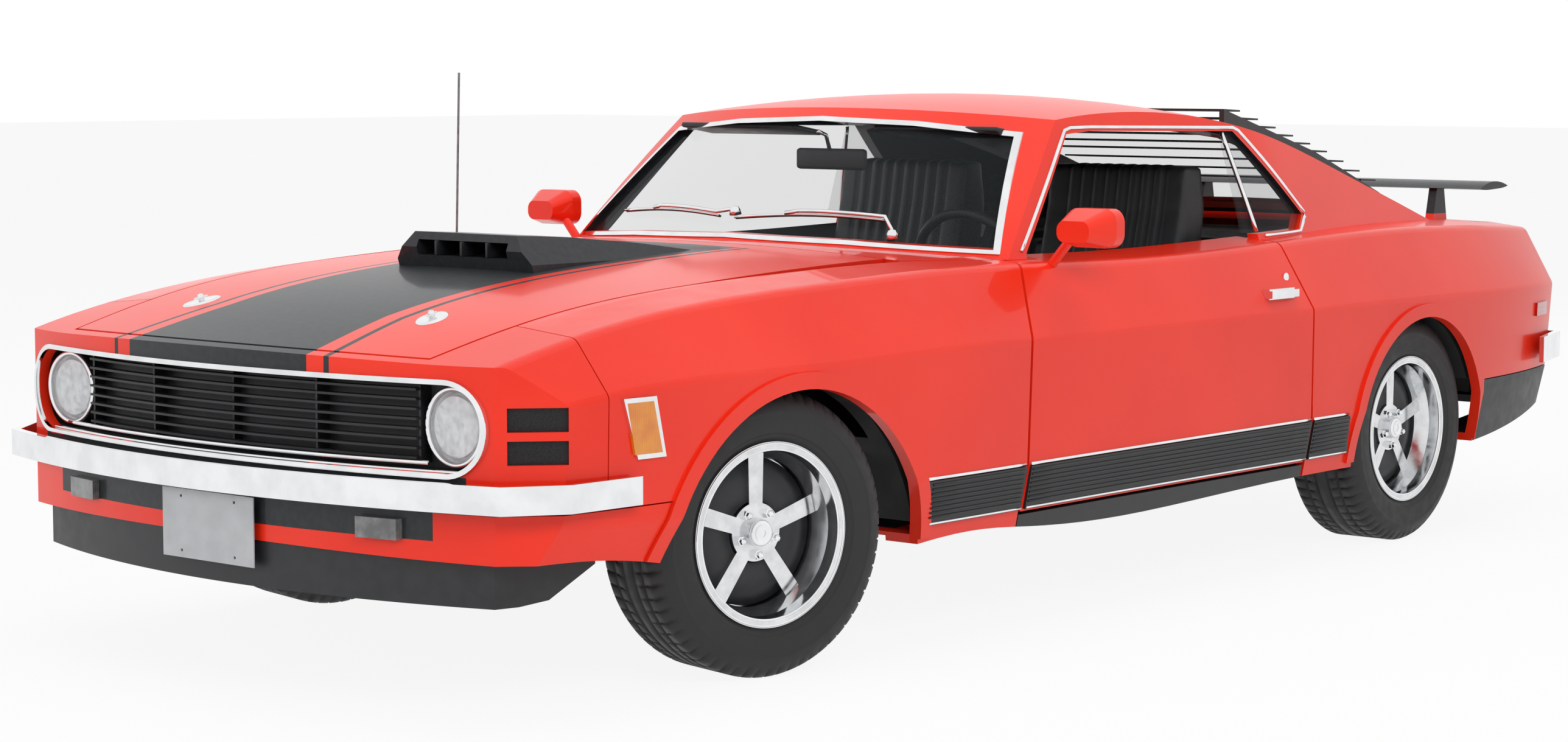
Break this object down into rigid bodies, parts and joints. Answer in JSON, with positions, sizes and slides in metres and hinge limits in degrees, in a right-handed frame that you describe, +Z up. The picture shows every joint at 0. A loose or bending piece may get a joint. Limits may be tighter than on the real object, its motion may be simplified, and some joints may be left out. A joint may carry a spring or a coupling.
{
  "type": "fastback muscle car",
  "caption": "Two-door fastback muscle car with opening doors, hood and trunk lid, steered front wheels, cabin and running gear.",
  "frame": {"origin": "on the ground, midway along and across the car", "axes": "+X to the front of the car, +Y to its left, +Z up"},
  "size_m": [4.7598, 1.986, 1.3381],
  "materials": {
    "body_paint": "gloss",
    "black_satin": "satin",
    "bright_metal": "polished",
    "wheel_bright": "polished",
    "tyre_rubber": "matte",
    "clear_glass": "polished",
    "lamp_glass": "polished",
    "red_lamp": "gloss",
    "amber_lamp": "gloss",
    "under_black": "satin",
    "cast": "rough",
    "seat_vinyl": "satin",
    "trim_plastic": "matte",
    "plate_paint": "satin",
    "steel": "satin"
  },
  "bodies": {
    "body": {"amber_lamps": "amber_lamp", "antenna": "bright_metal", "bright_trim": "bright_metal", "chin_spoiler": "trim_plastic", "cowl_panel": "body_paint", "dashboard": "trim_plastic", "driveline": "steel", "engine_block": "cast", "exhaust": "steel", "fenders": "body_paint", "floor_pan": "under_black", "front_bumper": "bright_metal", "front_frame": "under_black", "front_seats": "seat_vinyl", "front_valance": "body_paint", "grille": "trim_plastic", "headlamps": "lamp_glass", "nose_panel": "body_paint", "nostril_mesh": "trim_plastic", "number_plate": "plate_paint", "quarter_glass": "clear_glass", "quarter_panels": "body_paint", "rear_axle": "under_black", "rear_bumper": "bright_metal", "rear_frame": "under_black", "rear_seat": "seat_vinyl", "rear_slats": "black_satin", "rear_valance": "black_satin", "rear_window": "clear_glass", "rocker_trim": "trim_plastic", "roof_panel": "body_paint", "sills": "body_paint", "steering_column": "trim_plastic", "tail_lamps": "red_lamp", "tail_panel": "body_paint", "windshield": "clear_glass"},
    "hood": {"hood": "body_paint"},
    "trunk_lid": {"trunk_lid": "body_paint"},
    "door_left": {"door_left": "body_paint", "mirror_left": "body_paint", "door_handle_left": "bright_metal", "door_trim_left": "trim_plastic"},
    "door_right": {"door_right": "body_paint", "mirror_right": "body_paint", "door_handle_right": "bright_metal", "door_trim_right": "trim_plastic"},
    "knuckle_left": {"knuckle_left": "cast"},
    "knuckle_right": {"knuckle_right": "cast"},
    "wheel_front_left": {"rim_front_left": "wheel_bright", "tyre_front_left": "tyre_rubber", "brake_disc_left": "cast"},
    "wheel_front_right": {"rim_front_right": "wheel_bright", "tyre_front_right": "tyre_rubber", "brake_disc_right": "cast"},
    "wheel_rear_left": {"rim_rear_left": "wheel_bright", "tyre_rear_left": "tyre_rubber"},
    "wheel_rear_right": {"rim_rear_right": "wheel_bright", "tyre_rear_right": "tyre_rubber"},
    "steering_wheel": {"steering_wheel": "trim_plastic"}
  },
  "joints": [
    {"name": "hood_hinge", "type": "hinge", "parent": "body", "child": "hood", "pos_m": [0.8, 0, 0.922], "axis": [0, -1, 0], "range_deg": [0, 48]},
    {"name": "trunk_hinge", "type": "hinge", "parent": "body", "child": "trunk_lid", "pos_m": [-1.905, 0, 0.907], "axis": [0, 1, 0], "range_deg": [0, 60]},
    {"name": "door_left_hinge", "type": "hinge", "parent": "body", "child": "door_left", "pos_m": [0.65, 0.888, 0.5], "axis": [0, 0, -1], "range_deg": [0, 60]},
    {"name": "door_right_hinge", "type": "hinge", "parent": "body", "child": "door_right", "pos_m": [0.65, -0.888, 0.5], "axis": [0, 0, 1], "range_deg": [0, 60]},
    {"name": "steer_left", "type": "hinge", "parent": "body", "child": "knuckle_left", "pos_m": [1.395, 0.625, 0.322], "axis": [0, 0, 1], "range_deg": [-18, 42]},
    {"name": "steer_right", "type": "hinge", "parent": "body", "child": "knuckle_right", "pos_m": [1.395, -0.625, 0.322], "axis": [0, 0, 1], "range_deg": [-18, 42]},
    {"name": "steering_turn", "type": "hinge", "parent": "body", "child": "steering_wheel", "pos_m": [0.06, 0.36, 0.8], "axis": [-0.9397, 0, 0.342], "range_deg": [-288, 672]},
    {"name": "spin_front_left", "type": "hinge", "parent": "knuckle_left", "child": "wheel_front_left", "pos_m": [1.41953, 0.74042, 0.322], "axis": [0.2079, 0.9781, 0], "continuous": true},
    {"name": "spin_front_right", "type": "hinge", "parent": "knuckle_right", "child": "wheel_front_right", "pos_m": [1.37047, -0.74042, 0.322], "axis": [0.2079, 0.9781, 0], "continuous": true},
    {"name": "spin_rear_left", "type": "hinge", "parent": "body", "child": "wheel_rear_left", "pos_m": [-1.348, 0.743, 0.322], "axis": [0, 1, 0], "continuous": true},
    {"name": "spin_rear_right", "type": "hinge", "parent": "body", "child": "wheel_rear_right", "pos_m": [-1.348, -0.743, 0.322], "axis": [0, 1, 0], "continuous": true}
  ],
  "couplings": [
    {"joint": "steer_right", "follows": "steer_left", "ratio": 1},
    {"joint": "steering_turn", "follows": "steer_left", "ratio": 16}
  ]
}
